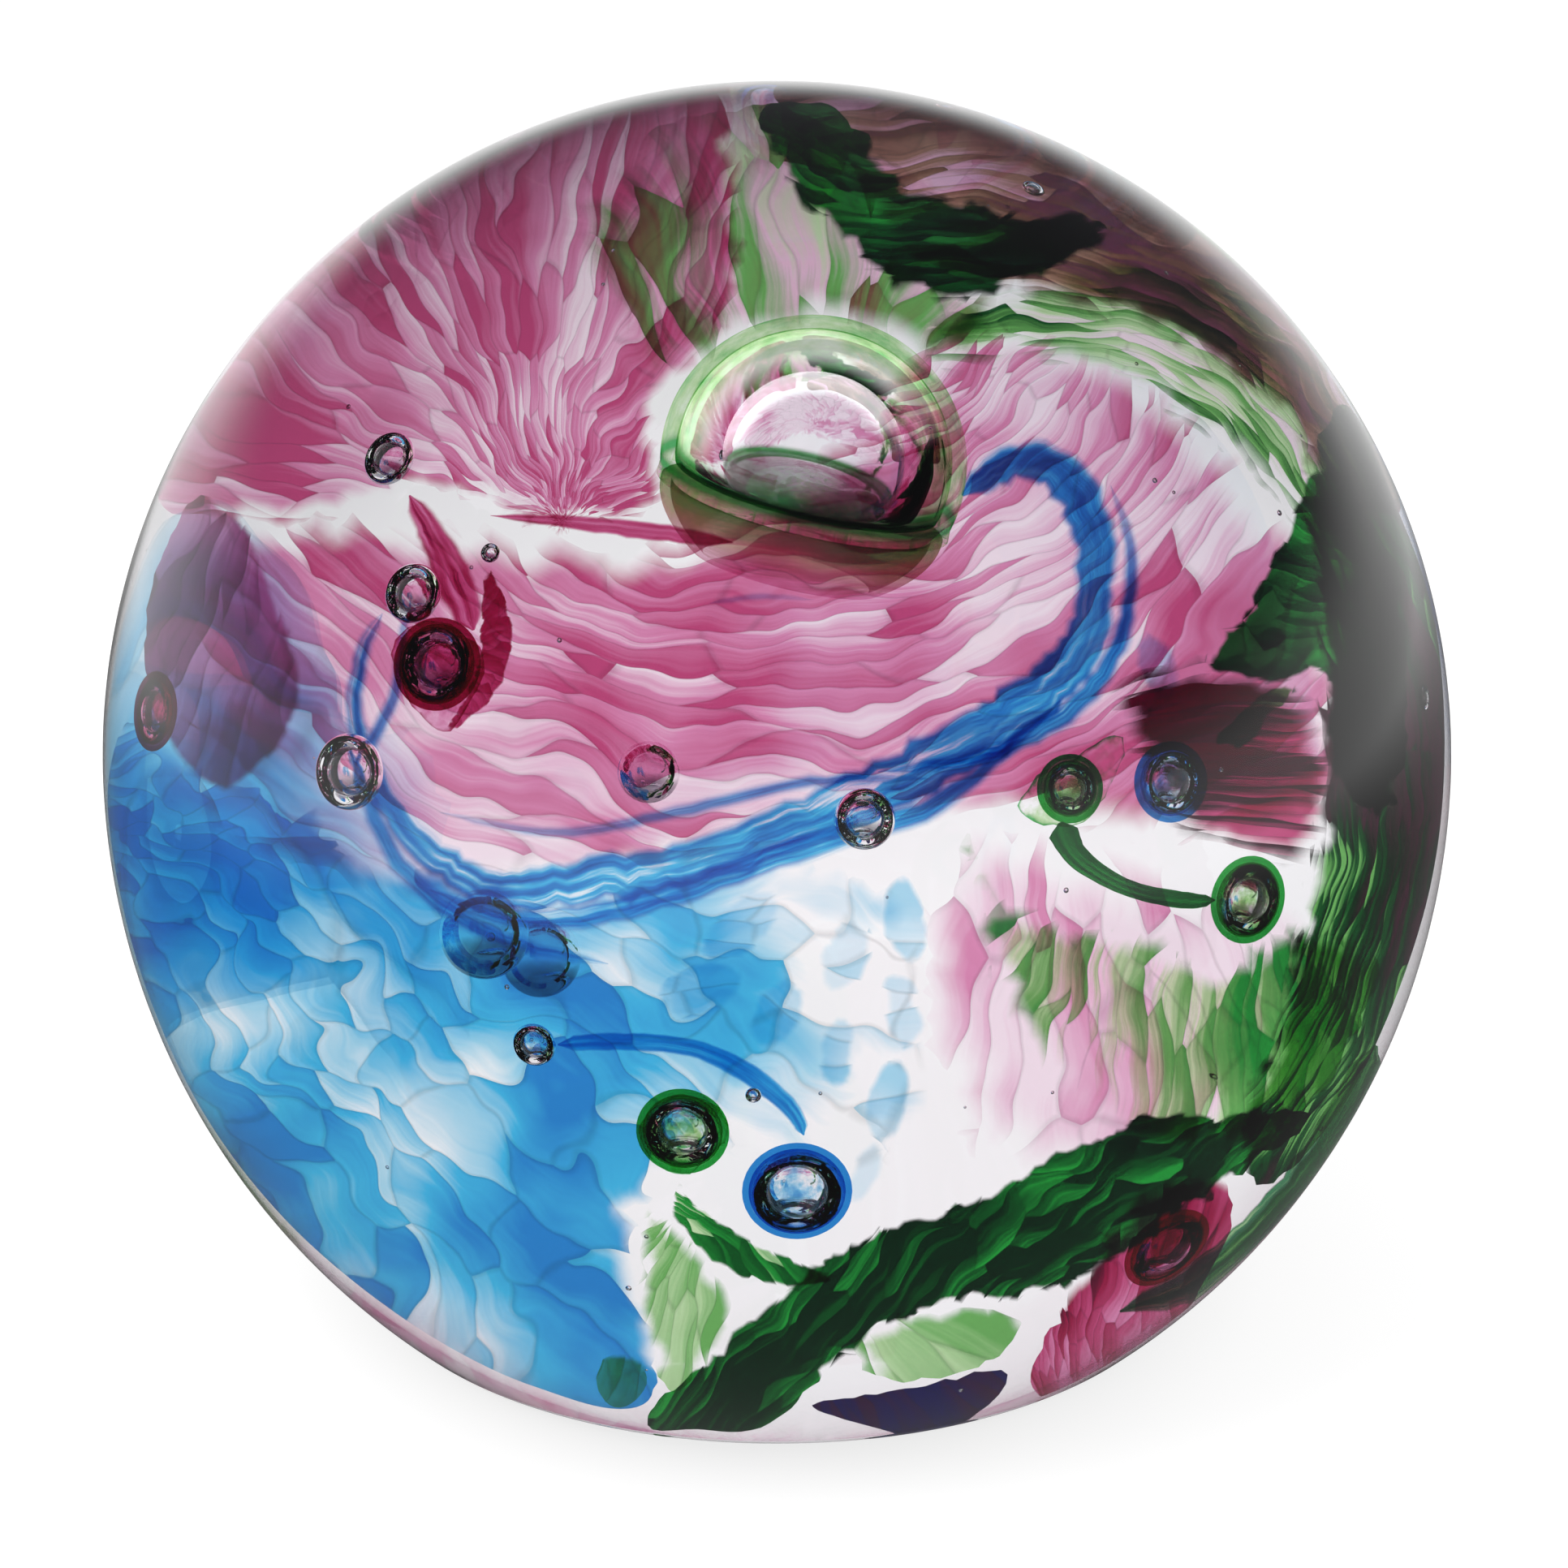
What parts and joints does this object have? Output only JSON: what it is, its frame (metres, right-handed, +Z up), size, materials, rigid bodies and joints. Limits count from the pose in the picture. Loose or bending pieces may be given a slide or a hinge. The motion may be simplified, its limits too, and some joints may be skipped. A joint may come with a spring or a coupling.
{
  "type": "glass paperweight",
  "caption": "Solid clear glass ball with a ground flat foot, holding sealed veils, trails and feathers of rose, green, blue and ruby glass and pricked air bubbles.",
  "frame": {"origin": "centre of the ground flat foot", "axes": "+Z up through the middle of the ball; -Y towards the front of the design, where the green-skinned crown bubble and the blue loop show; +X to the right seen from the front"},
  "size_m": [0.08, 0.08, 0.073],
  "materials": {
    "crystal": "clear crystal, fire-polished, with a ground and polished foot",
    "rose_glass": "translucent rose glass rolled out in flame-shaped petals",
    "plum_glass": "translucent brown-plum glass, rose laid over green",
    "maroon_glass": "dense maroon to indigo glass",
    "deep_green_glass": "dense bottle-green glass with lighter seams",
    "green_glass": "bright translucent green glass",
    "blue_glass": "bright translucent blue glass",
    "pale_blue_glass": "pale blue chips",
    "ruby_glass": "dense ruby glass"
  },
  "bodies": {
    "root": {"outer_casing": "crystal", "middle_gather": "crystal", "inner_gather": "crystal", "crystal_core": "crystal", "rose_fan": "rose_glass", "rose_sheet": "rose_glass", "rose_veil": "rose_glass", "rear_rose_sheet": "rose_glass", "crown_petals": "plum_glass", "plum_cloud": "plum_glass", "maroon_patch": "maroon_glass", "green_band": "deep_green_glass", "green_arc": "green_glass", "green_mantle": "deep_green_glass", "green_wedge": "deep_green_glass", "green_shard": "green_glass", "green_feathers": "green_glass", "green_sash": "green_glass", "green_rope": "deep_green_glass", "green_leaf": "green_glass", "green_pale_petals": "green_glass", "green_stem": "green_glass", "green_thorn": "deep_green_glass", "rear_green_sweep": "green_glass", "blue_loop": "blue_glass", "blue_field": "blue_glass", "blue_petals": "pale_blue_glass", "blue_stem": "blue_glass", "rear_blue_field": "blue_glass", "indigo_shadow": "maroon_glass", "ruby_fold": "ruby_glass", "ruby_ribbon": "ruby_glass", "ruby_streak": "ruby_glass", "ruby_leaf": "ruby_glass", "ruby_flare": "ruby_glass", "crown_bubble_skin": "green_glass", "crown_skirt": "plum_glass", "ruby_bubble_skin": "ruby_glass", "ruby_pod_skin": "ruby_glass", "ruby_berry_skin": "ruby_glass", "green_bud_skin": "green_glass", "green_bead_skin": "green_glass", "blue_collar_skin": "blue_glass", "blue_bead_skin": "blue_glass"}
  },
  "joints": []
}
